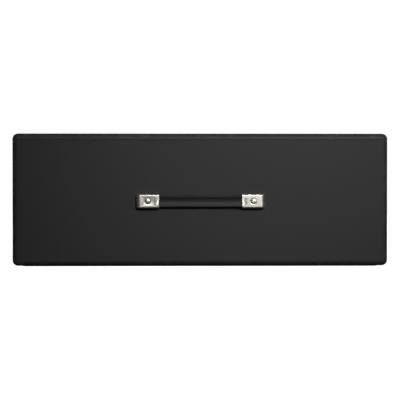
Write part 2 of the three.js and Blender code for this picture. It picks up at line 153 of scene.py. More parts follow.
class Wire:
    """An output of a node in a material. Sums on it add Math nodes, and node() adds any other node."""

    def __init__(self, tree, socket=None):
        self.tree = tree
        self.socket = socket

    def node(self, kind, settings=None, sockets=None, out=0):
        """Adds a node, with its settings first and then the values or links of its sockets."""
        made = self.tree.nodes.new("ShaderNode" + kind)
        for name, value in (settings or {}).items():
            setattr(made, name, value)
        for name, value in (sockets or {}).items():
            if isinstance(value, Wire):
                self.tree.links.new(value.socket, made.inputs[name])
            else:
                made.inputs[name].default_value = value
        return Wire(self.tree, made.outputs[out])

    def math(self, operation, *values):
        return self.node("Math", {"operation": operation}, dict(enumerate(values)))

    def __add__(self, other):
        return self.math("ADD", self, other)

    def __sub__(self, other):
        return self.math("SUBTRACT", self, other)

    def __rsub__(self, other):
        return self.math("SUBTRACT", other, self)

    def __mul__(self, other):
        return self.math("MULTIPLY", self, other)

    __radd__ = __add__
    __rmul__ = __mul__

    def between(self, low, high, to_low=0.0, to_high=1.0):
        """Maps a range of values smoothly to another range, and holds its ends."""
        sockets = {0: self, 1: low, 2: high, 3: to_low, 4: to_high}
        return self.node("MapRange", {"interpolation_type": "SMOOTHSTEP"}, sockets)

    def mix(self, low, high):
        """Colours from low, where this value is 0, to high, where it is 1."""
        return self.node("Mix", {"data_type": "RGBA"}, {0: self, 6: low, 7: high}, 2)

    def scaled(self, scale, turn=(0.0, 0.0, 0.0)):
        """These coordinates scaled along each axis, and then turned."""
        return self.node("Mapping", {}, {"Vector": self, "Rotation": turn, "Scale": scale})

    def noise(self, size, detail=2.0, roughness=0.5):
        """Soft random patches of this size in metres, on these coordinates."""
        sockets = {"Vector": self, "Scale": 1 / size, "Detail": detail, "Roughness": roughness}
        return self.node("TexNoise", {}, sockets)

    def stored(self, name):
        """An amount that store_amount put on the points of the piece."""
        return self.node("Attribute", {"attribute_name": name}, out="Fac")

    def bump(self, depth, over=None):
        """A normal from this height between 0 and 1, with its depth in metres."""
        sockets = {"Height": self, "Distance": depth}
        if over is not None:
            sockets["Normal"] = over
        return self.node("Bump", {}, sockets)


def new_finish(name):
    """A new material, and the object coordinates that its patterns are laid on."""
    material = bpy.data.materials.new(name)
    material.use_nodes = True
    return material, Wire(material.node_tree).node("TexCoord", out="Object")


def set_shader(material, **sockets):
    """Sets or links the sockets of a material's shader, named with _ for a space."""
    shader = material.node_tree.nodes["Principled BSDF"]
    for name, value in sockets.items():
        socket = shader.inputs[name.replace("_", " ")]
        if isinstance(value, Wire):
            material.node_tree.links.new(value.socket, socket)
        else:
            socket.default_value = value


def leatherette_finish():
    material, place = new_finish("leatherette")
    pebbles_per_metre = 1050
    drift = place.noise(0.004, 1.0)
    drift_reach = (0.0008, 0.0008, 0.0008)
    shifted = place.node("VectorMath", {"operation": "MULTIPLY_ADD"}, {0: drift, 1: drift_reach, 2: place})
    cell_sockets = {"Vector": shifted, "Scale": pebbles_per_metre, "Smoothness": 0.35}
    cells = shifted.node("TexVoronoi", {"feature": "SMOOTH_F1"}, cell_sockets)
    pebbles = cells.between(0.0, 0.62, 1.0, 0.0)
    pores = place.noise(0.00025, 2.0)
    patches = place.noise(0.16, 1.0)
    rubbed = place.noise(0.012, 4.0, 0.6).between(0.45, 0.72)
    rubbed_edge = place.stored("worn") * rubbed
    dull = patches.mix((0.0115, 0.0115, 0.0122, 1), (0.0125, 0.0125, 0.0132, 1))
    colour = (rubbed_edge * 0.55).mix(dull, (0.034, 0.033, 0.032, 1))
    roughness = 0.58 + 0.03 * patches - 0.12 * rubbed_edge + 0.06 * pores
    unevenness = place.noise(0.12, 0.0).bump(0.0002)
    grain = (pebbles + 0.25 * pores).bump(0.000035, unevenness)
    set_shader(material, Base_Color=colour, Roughness=roughness, Normal=grain, Specular_IOR_Level=0.22)
    return material


leatherette = leatherette_finish()

edge_radius = 0.007
cover_thickness = 0.001
inner_radius = edge_radius - cover_thickness
closed_gap = 0.00006
softened_rim = 0.0002
lining_gap = 0.0001
rim_turn = 0.012
under_turn = 0.02
leaf_recess = 0.0014
leaf_room = 0.0002
case_low, case_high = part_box("body_cover")
lid_low, lid_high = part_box("lid_cover")
seam_z = (case_high.z + lid_low.z) / 2
rim_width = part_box("front_lining")[0].y - case_low.y - lining_gap


def rounded_block(name, low, high, radius, flat_z, softened=0.0):
    """A block with rounded edges, but for its flat end at one height, whose rim may be softened a little."""
    block = new_block(name, low, high)
    select_only("EDGE", lambda middle: not near(middle.z, flat_z, 1e-4))
    bpy.ops.mesh.bevel(offset=radius, segments=8, profile=0.5, affect="EDGES")
    if softened:
        select_only("EDGE", lambda middle: near(middle.z, flat_z))
        bpy.ops.mesh.bevel(offset=softened, segments=2, profile=0.5, affect="EDGES")
    bpy.ops.object.mode_set(mode="OBJECT")
    return block


def open_underside(cover, low, high, turned_in):
    """Cuts the underside of a covering away, inside the strip that is turned in under it."""
    room_low = Vector((low.x + turned_in, low.y + turned_in, low.z - cover_thickness))
    room_high = Vector((high.x - turned_in, high.y - turned_in, low.z + 2 * cover_thickness))
    cut_away(cover, new_block("hem_room", room_low, room_high))


def let_in_hinges(cover, part):
    """Cuts the covering away where the leaves of the hinges are let in."""
    below, above = (leaf_recess, leaf_room) if part == "wall" else (leaf_room, leaf_recess)
    for side in ("left", "right"):
        low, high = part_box(f"hinge_{side}_{part}_leaf")
        room_low = Vector((low.x - leaf_room, low.y - leaf_room, seam_z - below))
        room_high = Vector((high.x + leaf_room, high.y, seam_z + above))
        cut_away(cover, new_block("leaf_room", room_low, room_high))


case_rim = seam_z - closed_gap
case_top = Vector((case_high.x, case_high.y, case_rim))
wall = Vector((cover_thickness,) * 3)
case_cover = rounded_block("case_covering", case_low, case_top, edge_radius, case_rim, softened_rim)
room_top = case_top - wall
cut_away(case_cover, rounded_block("room", case_low + wall, room_top, inner_radius, room_top.z))
opening = Vector((rim_width, rim_width, 0))
lip_side = Vector((cover_thickness, cover_thickness, 0))
lip_low = case_low + opening - lip_side
lip_low.z = case_rim - rim_turn
join_on(case_cover, new_block("lip", lip_low, case_top - opening + lip_side))
up = Vector((0, 0, 2 * cover_thickness))
cut_away(case_cover, new_block("opening", case_low + opening + up, case_top - opening + up))
open_underside(case_cover, case_low, case_high, under_turn)
let_in_hinges(case_cover, "wall")
finish_shape(case_cover, flat_faces=True)
note_wear(case_cover, edge_radius, case_low.z)
case_cover.data.materials.append(leatherette)
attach(case_cover, "case")
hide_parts("body_cover")


# ---- Covering of the lid ----------------------------------------------------------------------------------
# The same cloth in one piece, glued over the lid's board and down its sides, and turned in under it. It is
# let in for the hinges as the covering of the case is.

lid_turn = 0.018
lid_bottom = seam_z + closed_gap

lid_base = Vector((lid_low.x, lid_low.y, lid_bottom))
lid_cover = rounded_block("lid_covering", lid_base, lid_high, edge_radius, lid_bottom, softened_rim)
room_bottom = lid_base + wall
cut_away(lid_cover, rounded_block("room", room_bottom, lid_high - wall, inner_radius, room_bottom.z))
open_underside(lid_cover, lid_base, lid_high, lid_turn)
let_in_hinges(lid_cover, "lid")
finish_shape(lid_cover, flat_faces=True)
note_wear(lid_cover, edge_radius, lid_high.z)
lid_cover.data.materials.append(leatherette)
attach(lid_cover, "lid")
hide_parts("lid_cover")


# ---- Boards -----------------------------------------------------------------------------------------------
# Birch plywood, butted and glued at the corners. All of it is under the covering and the lining, so the
# solids of the frame only get their finish.


def plywood_finish():
    material, place = new_finish("plywood")
    long_grain = place.scaled((0.12, 1.0, 1.0))
    figure = long_grain.noise(0.006, 4.0, 0.6)
    fibres = long_grain.noise(0.0009, 3.0)
    colour = figure.between(0.3, 0.7).mix((0.409, 0.261, 0.135, 1), (0.584, 0.419, 0.249, 1))
    normal = (0.6 * fibres + 0.4 * figure).bump(0.00015)
    set_shader(material, Base_Color=colour, Roughness=0.58 + 0.2 * fibres, Normal=normal)
    return material


def paint_node(name, material):
    """Gives a CAD node this material."""
    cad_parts[name].material_slots[0].material = material


plywood = plywood_finish()
for board in ("front", "back", "left", "right", "floor", "lid"):
    paint_node(board + "_board", plywood)


# ---- Sheet under the case ---------------------------------------------------------------------------------
# Black felt with rounded corners, that keeps the box from scratching what it stands on. It is glued over the
# turned-in hem of the covering.


def felt_finish():
    material, place = new_finish("felt")
    fluff = place.noise(0.0011, 5.0, 0.75)
    hairs = place.scaled((1.0, 0.2, 1.0)).noise(0.0007, 3.0, 0.6)
    colour = (0.5 * fluff + 0.5 * place.noise(0.05)).mix((0.008, 0.008, 0.009, 1), (0.03, 0.03, 0.032, 1))
    normal = (0.6 * fluff + 0.4 * hairs).bump(0.0006)
    set_shader(material, Base_Color=colour, Roughness=0.93 + 0.06 * hairs, Normal=normal, Sheen_Weight=0.35)
    return material


felt = felt_finish()
felt_corner = 0.0065
felt_edge = 0.0008
felt_low, felt_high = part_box("underside_sheet")
felt_middle_z = (felt_low.z + felt_high.z) / 2
felt_sheet = new_block("felt_sheet", felt_low, felt_high)
select_only("EDGE", lambda middle: near(middle.z, felt_middle_z, 1e-5))
bpy.ops.mesh.bevel(offset=felt_corner, segments=5, affect="EDGES")
select_only("FACE", lambda middle: near(middle.z, felt_low.z, 1e-5))
bpy.ops.mesh.inset(thickness=felt_edge)
finish_shape(felt_sheet)
felt_sheet.data.materials.append(felt)
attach(felt_sheet, "case")
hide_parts("underside_sheet")


# ---- Lining -----------------------------------------------------------------------------------------------
# Champagne satin over a little wadding and card. The panels on the floor and in the lid are stitched through
# in diamonds and the wall panels in upright channels, and the satin is a little full between the stitches.


def satin_finish():
    material, place = new_finish("satin")
    soft_folds = place.noise(0.03, 2.0)
    warp = place.scaled((1.0, 0.08, 0.08)).noise(0.0005, 2.0)
    weft = place.scaled((0.08, 1.0, 1.0)).noise(0.0005, 2.0)
    thread = 0.5 * warp + 0.5 * weft
    stitches_and_crease_shade = place.stored("stitches_and_crease_shade")
    colour = (0.55 * soft_folds + 0.45 * thread).mix((0.36, 0.285, 0.2, 1), (0.5, 0.41, 0.3, 1))
    # Darker along the stitch lines: painted shade in the creases there, with the stitch thread. The thread
    # also makes the satin rougher there.
    colour = (stitches_and_crease_shade * 0.6).mix(colour, (0.2, 0.15, 0.1, 1))
    roughness = 0.3 + 0.16 * thread + 0.25 * stitches_and_crease_shade
    normal = thread.bump(0.00006, soft_folds.bump(0.0008))
    set_shader(material, Base_Color=colour, Roughness=roughness, Normal=normal,
               Anisotropic=0.45, Sheen_Weight=0.3, Sheen_Roughness=0.35)
    return material


satin_cell = 0.006
stitch_reach = 0.0035
drift_limit = 0.002
settling_frames = 18


def move_points(piece, points):
    """Puts the points of a piece at these places."""
    piece.data.vertices.foreach_set("co", points.astype(np.float32).ravel())


def stitch_lines(points, spacing, diamonds):
    """How near each point of a flat panel is to a line of stitches, in metres."""
    if diamonds:
        across = [points[:, 0] + points[:, 1], points[:, 0] - points[:, 1]]
        pitch = spacing * math.sqrt(2)
        return np.min([np.abs((a + pitch / 2) % pitch - pitch / 2) for a in across], 0) / math.sqrt(2)
    return np.abs(points[:, 0] % spacing - spacing / 2)


def puff_out(panel, held):
    """Lets a flat panel, a little too large for its place, puff out under pressure between its stitches."""
    pins = panel.vertex_groups.new(name="held")
    pins.add([int(i) for i in np.flatnonzero(held)], 1.0, "REPLACE")
    cloth = panel.modifiers.new("satin", "CLOTH")
    cloth.settings.quality = 5
    cloth.settings.mass = 0.15
    cloth.settings.vertex_group_mass = "held"
    cloth.settings.shrink_min = -0.035
    cloth.settings.use_pressure = True
    cloth.settings.uniform_pressure_force = 10.0
    cloth.settings.bending_stiffness = 0.4
    cloth.settings.effector_weights.gravity = 0
    cloth.collision_settings.use_collision = False
    for step in range(1, settling_frames + 1):
        bpy.context.scene.frame_set(step)
    bpy.context.view_layer.objects.active = panel
    bpy.ops.object.modifier_apply(modifier="satin")
    bpy.context.scene.frame_set(1)


def satin_panel(name, node, body, facing, spacing, diamonds, puff):
    """A stitched, padded panel in the space of a CAD node, whose satin side faces a way along one axis."""
    low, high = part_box(node)
    size = high - low
    normal = Vector(facing)
    upright = abs(normal.z) < 0.5
    side = Vector((0, 0, 1)) if upright else Vector((0, 1, 0))
    along = side.cross(normal)
    width, height = abs(size.dot(along)), abs(size.dot(side))
    thickness = abs(size.dot(normal))
    columns, rows = round(width / satin_cell), round(height / satin_cell)
    bpy.ops.object.select_all(action="DESELECT")
    bpy.ops.mesh.primitive_grid_add(x_subdivisions=columns, y_subdivisions=rows, size=1)
    panel = bpy.context.object
    panel.name = name
    panel.scale = (width, height, 1)
    bpy.ops.object.transform_apply(location=False, rotation=False, scale=True)
    flat = mesh_points(panel)
    to_edge = np.minimum(width / 2 - np.abs(flat[:, 0]), height / 2 - np.abs(flat[:, 1]))
    to_stitch = stitch_lines(flat, spacing, diamonds)
    held = (to_edge < satin_cell / 2) | (to_stitch < satin_cell / 2)
    puff_out(panel, held)
    settled = mesh_points(panel)
    risen = settled[:, 2] - settled[held, 2].mean()
    scale_to_puff = puff / max(np.percentile(risen, 98), 1e-6)
    raised = np.clip(risen * scale_to_puff, 0, puff)
    inside_edge = np.clip(to_edge / satin_cell, 0, 1)[:, None]
    drifted = np.clip(settled[:, :2] - flat[:, :2], -drift_limit, drift_limit)
    settled[:, :2] = flat[:, :2] + drifted * inside_edge
    settled[:, 2] = thickness / 2 - puff + raised
    move_points(panel, settled)
    # How near each point is to a stitch line, where the satin gets painted shade in its creases and is
    # rougher.
    store_amount(panel, "stitches_and_crease_shade", 1 - to_stitch / stitch_reach)
    apply_modifier(panel, "SUBSURF", levels=1, render_levels=1, boundary_smooth="PRESERVE_CORNERS")
    bpy.ops.object.select_all(action="DESELECT")
    panel.select_set(True)
    bpy.ops.object.mode_set(mode="EDIT")
    bpy.ops.mesh.select_all(action="SELECT")
    bpy.ops.mesh.region_to_loop()
    bpy.ops.mesh.extrude_edges_move(TRANSFORM_OT_translate={"value": (0, 0, puff - thickness)})
    bpy.ops.mesh.edge_face_add()
    bpy.ops.mesh.select_all(action="SELECT")
    bpy.ops.mesh.normals_make_consistent(inside=False)
    finish_shape(panel, 50)
    turn = Matrix((along, side, normal)).transposed().to_4x4()
    panel.data.transform(Matrix.Translation((low + high) / 2) @ turn)
    panel.data.materials.append(satin)
    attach(panel, body)
    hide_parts(node)


satin = satin_finish()
diamond_spacing = 0.052
channel_spacing = 0.03
floor_puff = 0.0042
lid_puff = 0.0048
wall_puff = 0.0024
wall_facings = {"front": (0, 1, 0), "back": (0, -1, 0), "left": (1, 0, 0), "right": (-1, 0, 0)}

satin_panel("floor_cushion", "floor_pad", "case", (0, 0, 1), diamond_spacing, True, floor_puff)
satin_panel("lid_cushion", "lid_pad", "lid", (0, 0, -1), diamond_spacing, True, lid_puff)
for side, facing in wall_facings.items():
    satin_panel(f"{side}_wall_lining", f"{side}_lining", "case", facing, channel_spacing, False, wall_puff)


# ---- Collar for the crown of the hat ----------------------------------------------------------------------
# A bent strip of board, covered in satin gathered into fine upright pleats, with a corded edge along its top
# and bottom. It is stitched down to the floor panel.

collar_low, collar_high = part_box("hat_collar")
collar_middle = (collar_low + collar_high) / 2
collar_size = collar_high - collar_low
collar_wall = 0.006
collar_reach = Vector((collar_size.x / 2 - collar_wall / 2, collar_size.y / 2 - collar_wall / 2))
cord_radius = 0.0017
cord_half_width = collar_wall * 0.45
pleats = 132
pleat_depth = 0.0006
pleat_room = 0.0002
points_round_pleat = 6
rows = 8


def new_outline(name, points, edges, faces=()):
    """A new piece from the points of an outline, in edit mode and selected all over."""
    bpy.ops.object.select_all(action="DESELECT")
    mesh = bpy.data.meshes.new(name)
    mesh.from_pydata(points, edges, faces)
    piece = bpy.data.objects.new(name, mesh)
    bpy.context.scene.collection.objects.link(piece)
    bpy.context.view_layer.objects.active = piece
    piece.select_set(True)
    bpy.ops.object.mode_set(mode="EDIT")
    bpy.ops.mesh.select_all(action="SELECT")
    return piece


def spin_round(steps):
    """Spins the outline that is being edited round the upright axis, closes it and leaves edit mode."""
    bpy.ops.mesh.spin(steps=steps, angle=2 * math.pi, center=(0, 0, 0), axis=(0, 0, 1))
    bpy.ops.mesh.select_all(action="SELECT")
    bpy.ops.mesh.remove_doubles(threshold=1e-6)
    bpy.ops.mesh.select_all(action="SELECT")
    bpy.ops.mesh.normals_make_consistent(inside=False)
    bpy.ops.object.mode_set(mode="OBJECT")


def oval_ring(name, middle, reach, section):
    """Spins an upright closed section, of points out from the middle and up, round into an oval ring."""
    corners = [(reach.x + out, 0, up) for out, up in section]
    ring = new_outline(name, corners, [(i, (i + 1) % len(corners)) for i in range(len(corners))])
    spin_round(pleats * points_round_pleat)
    points = mesh_points(ring)
    angle = np.arctan2(points[:, 1], points[:, 0])
    out = np.hypot(points[:, 0], points[:, 1]) - reach.x
    points[:, 0] = (reach.x + out) * np.cos(angle)
    points[:, 1] = (reach.y + out) * np.sin(angle)
    return ring, points + np.array(middle), angle


half_wall = collar_wall / 2 - pleat_depth - pleat_room
half_height = collar_size.z / 2 - 1.2 * cord_radius
row_heights = [half_height * (2 * i / rows - 1) for i in range(rows + 1)]
collar_section = [(half_wall, z) for z in row_heights] + [(-half_wall, z) for z in reversed(row_heights)]
collar, collar_points, collar_angle = oval_ring("collar_sleeve", collar_middle, collar_reach, collar_section)

# The pleats are shallower near the cords, and wander a little.
pinched = np.abs(collar_points[:, 2] - collar_middle.z) / half_height
wander = 0.35 * np.sin(7 * collar_angle) + 0.3 * np.sin(17 * collar_angle + 1.3)
fold = np.cos(pleats * collar_angle + wander * pinched * 2)
fullness = pleat_depth * (1 - 0.55 * pinched**4)
outwards = np.stack([np.cos(collar_angle), np.sin(collar_angle), np.zeros_like(collar_angle)], 1)
from_middle = collar_points - np.array(collar_middle)
radius_here = np.hypot(from_middle[:, 0] / collar_reach.x, from_middle[:, 1] / collar_reach.y)
faces_out = np.where(radius_here > 1, 1.0, -1.0)
collar_points += (faces_out * fold * fullness)[:, None] * outwards
move_points(collar, collar_points)
collar.data.update()
finish_shape(collar, 60)
collar.data.materials.append(satin)
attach(collar, "case")
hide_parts("hat_collar")

cord_angles = [2 * math.pi * i / 12 for i in range(12)]
cord_section = [(cord_half_width * math.cos(a), cord_radius * math.sin(a)) for a in cord_angles]
for edge, z in (("top", collar_high.z - cord_radius), ("bottom", collar_low.z + cord_radius)):
    edge_middle = Vector((collar_middle.x, collar_middle.y, z))
    corded, cord_points, _ = oval_ring("collar_edge_" + edge, edge_middle, collar_reach, cord_section)
    move_points(corded, cord_points)
    corded.data.update()
    finish_shape(corded, 60)
    corded.data.materials.append(satin)
    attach(corded, "case")


# ---- Hinges -----------------------------------------------------------------------------------------------
# Two butt hinges of nickel-plated steel. The leaf is pressed from sheet and its end is rolled into knuckles
# round the pin. Each leaf is let in and held by two countersunk screws with crossed recesses.


def nickel_finish():
    material, place = new_finish("nickel")
    cloudy = place.noise(0.006, 3.0, 0.6)
    grime = place.noise(0.0022, 4.0, 0.65).between(0.42, 0.75)
    brushed = place.scaled((0.06, 1.0, 1.0)).noise(0.0003, 3.0, 0.6)
    scratches = place.scaled((0.05, 1.0, 1.0), (0.0, 0.5, 0.3)).noise(0.0005, 2.0).between(0.68, 0.76)
    pits = place.noise(0.0007, 2.0).between(0.7, 0.78)
    # Painted shade in the hollows of the caps, broken up by grime: the metal is darker, rougher and less
    # metallic there.
    shade_and_grime = place.stored("hollow") * (0.55 + 0.45 * grime)
    dull = 0.45 * cloudy + 0.55 * grime
    colour = dull.mix((0.66, 0.635, 0.585, 1), (0.46, 0.425, 0.365, 1))
    colour = (0.5 * pits).mix(colour, (0.16, 0.13, 0.1, 1))
    colour = shade_and_grime.mix(colour, (0.05, 0.04, 0.032, 1))
    roughness = 0.34 + 0.08 * cloudy + 0.1 * grime + 0.08 * scratches + 0.25 * shade_and_grime
    normal = (0.7 * brushed + 0.3 * cloudy - 0.5 * scratches - 0.4 * pits).bump(0.00003)
    set_shader(material, Base_Color=colour, Roughness=roughness, Normal=normal,
               Metallic=1.0 - 0.5 * pits - 0.5 * shade_and_grime)
    return material


def steel_finish():
    material, place = new_finish("steel")
    cloudy = place.noise(0.004, 3.0, 0.6)
    spots = place.noise(0.0012, 4.0, 0.7).between(0.55, 0.75)
    colour = cloudy.mix((0.4, 0.39, 0.37, 1), (0.52, 0.51, 0.49, 1))
    colour = (0.6 * spots).mix(colour, (0.22, 0.14, 0.09, 1))
    normal = (0.6 * cloudy + 0.4 * spots).bump(0.00004)
    set_shader(material, Base_Color=colour, Roughness=0.34 + 0.2 * spots, Normal=normal,
               Metallic=1.0 - 0.6 * spots)
    return material


def new_rod(name, radius, length, middle, axis, sides=32):
    """A round rod along an axis, with its rims rounded a little."""
    bpy.ops.object.select_all(action="DESELECT")
    bpy.ops.mesh.primitive_cylinder_add(vertices=sides, radius=radius, depth=length)
    rod = bpy.context.object
    rod.name = name
    bpy.ops.object.mode_set(mode="EDIT")
    end = length / 2
    select_only("FACE", lambda centre: near(abs(centre.z), end))
    bpy.ops.mesh.bevel(offset=min(0.00015, radius * 0.1), segments=2, affect="EDGES")
    bpy.ops.object.mode_set(mode="OBJECT")
    turn = Vector((0, 0, 1)).rotation_difference(Vector(axis)).to_matrix().to_4x4()
    rod.data.transform(Matrix.Translation(middle) @ turn)
    return rod


def turned_piece(name, outline, steps=48):
    """Spins an outline of radius and height round the upright axis into one closed piece."""
    points = [(radius, 0, height) for radius, height in outline]
    piece = new_outline(name, points, [(i, i + 1) for i in range(len(points) - 1)])
    spin_round(steps)
    return piece


def cut_cross(piece, reach, width, low, high):
    """Cuts a crossed recess down into the head of an upright screw."""
    for along, across in ((reach, width), (width, reach)):
        corner = Vector((along / 2, across / 2, 0))
        bottom, top = Vector((0, 0, low)), Vector((0, 0, high))
        cutter = new_block("drive", bottom - corner, top + corner)
        select_only("FACE", lambda middle: near(middle.z, low, 1e-7))
        bpy.ops.transform.resize(value=(0.55, 0.55, 1))
        cut_away(piece, cutter)


def copy_piece(piece, name, move):
    """A copy of a finished piece with its own mesh, moved by a matrix."""
    copy = piece.copy()
    copy.data = piece.data.copy()
    copy.name = name
    copy.data.transform(move)
    bpy.context.scene.collection.objects.link(copy)
    return copy


nickel = nickel_finish()
steel = steel_finish()
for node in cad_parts:
    if "magnet" in node or "pin" in node or "tee_nut" in node:
        paint_node(node, steel)

pin_low, pin_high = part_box("hinge_left_pin")
pin_line = (pin_low + pin_high) / 2
pin_room_radius = 0.0013
pin_room_length = 0.06
plate = 0.001
plate_corner = 0.0008
plate_setback = 0.0002
knuckle_count = 5
knuckle_radius = 0.0023
knuckle_gap = 0.0001
screw_head = 0.0018
screw_head_depth = 0.0008
screw_shank = 0.0008
screw_point = 0.0016
screw_chamfer = 0.00006
head_room = [
    (0, -0.0013), (0.0009, -0.0013), (0.0009, -0.0008), (screw_head + 0.00012, 0.0), (0.0021, 0.0002),
    (0, 0.0002),
]


def leaf_screw_place(side, part, number, height):
    """Where a screw of a leaf stands: in the middle of its node, with its head at this height."""
    low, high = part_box(f"hinge_{side}_{part}_screw_{number}")
    return Vector(((low.x + high.x) / 2, (low.y + high.y) / 2, height))


for part, body, first in (("wall", "case", 0), ("lid", "lid", 1)):
    way_in = 1 if part == "lid" else -1
    flip = Matrix.Rotation(math.pi, 4, "X") if part == "lid" else Matrix.Identity(4)
    low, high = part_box(f"hinge_left_{part}_leaf")
    screw_low, screw_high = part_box(f"hinge_left_{part}_screw_1")
    face_z = screw_low.z if part == "lid" else screw_high.z
    plate_low, plate_high = sorted((face_z, face_z + way_in * plate))
    plate_middle = (plate_low + plate_high) / 2
    leaf_back = Vector((high.x, case_high.y - plate_setback, plate_high))
    leaf = new_block(f"left_{part}_leaf", Vector((low.x, low.y, plate_low)), leaf_back)
    select_only("EDGE", lambda middle: near(middle.z, plate_middle, 1e-5) and middle.y < low.y + 1e-4)
    bpy.ops.mesh.bevel(offset=plate_corner, segments=3, affect="EDGES")
    bpy.ops.object.mode_set(mode="OBJECT")
    pitch = (high.x - low.x) / knuckle_count
    for i in range(first, knuckle_count, 2):
        x0 = low.x + i * pitch + (knuckle_gap if i else 0)
        x1 = low.x + (i + 1) * pitch - (knuckle_gap if i < knuckle_count - 1 else 0)
        knuckle_middle = Vector(((x0 + x1) / 2, pin_line.y, pin_line.z))
        knuckle = new_rod("knuckle", knuckle_radius, x1 - x0, knuckle_middle, (1, 0, 0))
        tab_low = Vector((x0, case_high.y - plate, plate_low))
        tab = new_block("tab", tab_low, Vector((x1, pin_line.y, plate_high)))
        join_on(leaf, knuckle)
        join_on(leaf, tab)
    cut_away(leaf, new_rod("pin_room", pin_room_radius, pin_room_length, pin_line, (1, 0, 0)))
    for number in (1, 2):
        screw_room = turned_piece("screw_room", head_room)
        place = leaf_screw_place("left", part, number, face_z)
        screw_room.data.transform(Matrix.Translation(place) @ flip)
        cut_away(leaf, screw_room)
    finish_shape(leaf, 30, flat_faces=True)
    leaf.data.materials.append(nickel)
    other = copy_piece(leaf, f"right_{part}_leaf", Matrix.Translation((-2 * pin_line.x, 0, 0)))
    for piece, side in ((leaf, "left"), (other, "right")):
        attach(piece, body)
        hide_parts(f"hinge_{side}_{part}_leaf")

    length = screw_high.z - screw_low.z
    screw = turned_piece("leaf_screw", [
        (0, -length), (0.0002, -length), (screw_shank, -length + screw_point),
        (screw_shank, -screw_head_depth), (screw_head, -screw_chamfer), (screw_head - screw_chamfer, 0.0),
        (0, 0.00005),
    ])
    cut_cross(screw, 0.0022, 0.00045, -0.0006, 0.0002)
    finish_shape(screw, 30)
    screw.data.materials.append(nickel)
    for side in ("left", "right"):
        for number in (1, 2):
            place = leaf_screw_place(side, part, number, face_z)
            turn = Matrix.Rotation(0.4 + 1.1 * number + place.x * 7, 4, "Z")
            stood = Matrix.Translation(place) @ flip @ turn
            made = copy_piece(screw, f"{side}_{part}_leaf_screw_{number}", stood)
            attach(made, body)
            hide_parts(f"hinge_{side}_{part}_screw_{number}")
    bpy.data.objects.remove(screw)


# ---- Caps of the handle -----------------------------------------------------------------------------------
# Pressed from thin steel and nickel plated: a rectangular hood with its outer end curved down to the wall, a
# round dimple for the screw, and a narrow panel pressed in next to the mouth that the strap comes out of.

cap_low, cap_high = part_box("handle_cap_right")
cap_height = cap_high.y - cap_low.y
cap_steel = 0.0008
cap_nose = 0.0052
cap_roll = 0.0022
skirt = 0.004
dimple_top, dimple_bottom, dimple_depth = 0.0046, 0.0029, 0.0012
screw_low, screw_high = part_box("handle_screw_right")
screw_axis = (screw_low + screw_high) / 2

# Modelled lying down, with its face up and x along the strap, and then stood up against the wall.
lying_low = Vector((cap_low.x, cap_low.z, 0))
lying_high = Vector((cap_high.x, cap_high.z, cap_height))


def on_side_rim(middle):
    """Whether an edge is on the rim between the hood's face and its long sides."""
    at_side = near(middle.y, lying_low.y) or near(middle.y, lying_high.y)
    return at_side and middle.z > cap_height - cap_nose - 1e-6 and not near(middle.x, lying_low.x)


cap = new_block("right_cap", lying_low - Vector((0, 0, skirt)), lying_high)
select_only("EDGE", lambda middle: near(middle.x, lying_high.x) and near(middle.z, cap_height))
bpy.ops.mesh.bevel(offset=cap_nose, segments=12, profile=0.5, affect="EDGES")
select_only("EDGE", on_side_rim)
bpy.ops.mesh.bevel(offset=cap_roll, segments=7, profile=0.5, affect="EDGES")
select_only("FACE", lambda middle: near(middle.x, lying_low.x) or near(middle.z, -skirt))
bpy.ops.mesh.delete(type="FACE")
bpy.ops.object.mode_set(mode="OBJECT")
apply_modifier(cap, "SOLIDIFY", thickness=cap_steel, offset=-1, use_even_offset=True)
around = 0.01
below_low = lying_low - Vector((around, around, around))
below_high = Vector((lying_high.x + around, lying_high.y + around, 0))
cut_away(cap, new_block("below", below_low, below_high))

to_screw = Matrix.Translation((screw_axis.x, screw_axis.z, 0))
dimple_floor = cap_height - dimple_depth
bowl_side = dimple_top + 0.0002
bowl = turned_piece("bowl", [
    (0, dimple_floor - cap_steel), (dimple_bottom + 0.0002, dimple_floor - cap_steel),
    (bowl_side, cap_height - cap_steel - 0.0001), (bowl_side, cap_height - 0.0004), (0, cap_height - 0.0004),
], 64)
bowl.data.transform(to_screw)
join_on(cap, bowl)
cutter_side, cutter_top = dimple_top + 0.0003, 0.012
dimple = turned_piece("dimple", [
    (0, dimple_floor), (dimple_bottom - 0.0003, dimple_floor), (dimple_bottom, dimple_floor + 0.0001),
    (dimple_bottom + 0.0003, cap_height - 0.0008), (dimple_top - 0.0006, cap_height - 0.0003),
    (dimple_top - 0.0002, cap_height - 0.00005), (cutter_side, cap_height + 0.00005),
    (cutter_side, cutter_top), (0, cutter_top),
], 64)
dimple.data.transform(to_screw)
cut_away(cap, dimple)
shank_room = 0.0021
cut_away(cap, new_rod("shank_room", shank_room, 0.02, to_screw.to_translation(), (0, 0, 1), 48))

panel_left, panel_right = cap_low.x + 0.0027, cap_low.x + 0.0066
panel_half = 0.0045
panel_depth = 0.0005
panel_corner = 0.0006
panel_clear = 0.001
panel_low = Vector((panel_left, screw_axis.z - panel_half, cap_height - panel_depth))
panel_high = Vector((panel_right, screw_axis.z + panel_half, cap_height + panel_clear))
pressed = new_block("pressed", panel_low, panel_high)
upright_middle = cap_height + (panel_clear - panel_depth) / 2
select_only("EDGE", lambda middle: near(middle.z, upright_middle, 0.0003))
bpy.ops.mesh.bevel(offset=panel_corner, segments=4, affect="EDGES")
select_only("FACE", lambda middle: near(middle.z, cap_height - panel_depth))
bpy.ops.transform.resize(value=(0.78, 0.9, 1))
cut_away(cap, pressed)
ridge_inset = 0.0013
ridge_half = panel_half * 0.8
ridge_low = Vector((panel_left + ridge_inset, screw_axis.z - ridge_half, cap_height - 0.0006))
ridge_high = Vector((panel_right - ridge_inset, screw_axis.z + ridge_half, cap_height - 0.0001))
ridge = new_block("ridge", ridge_low, ridge_high)
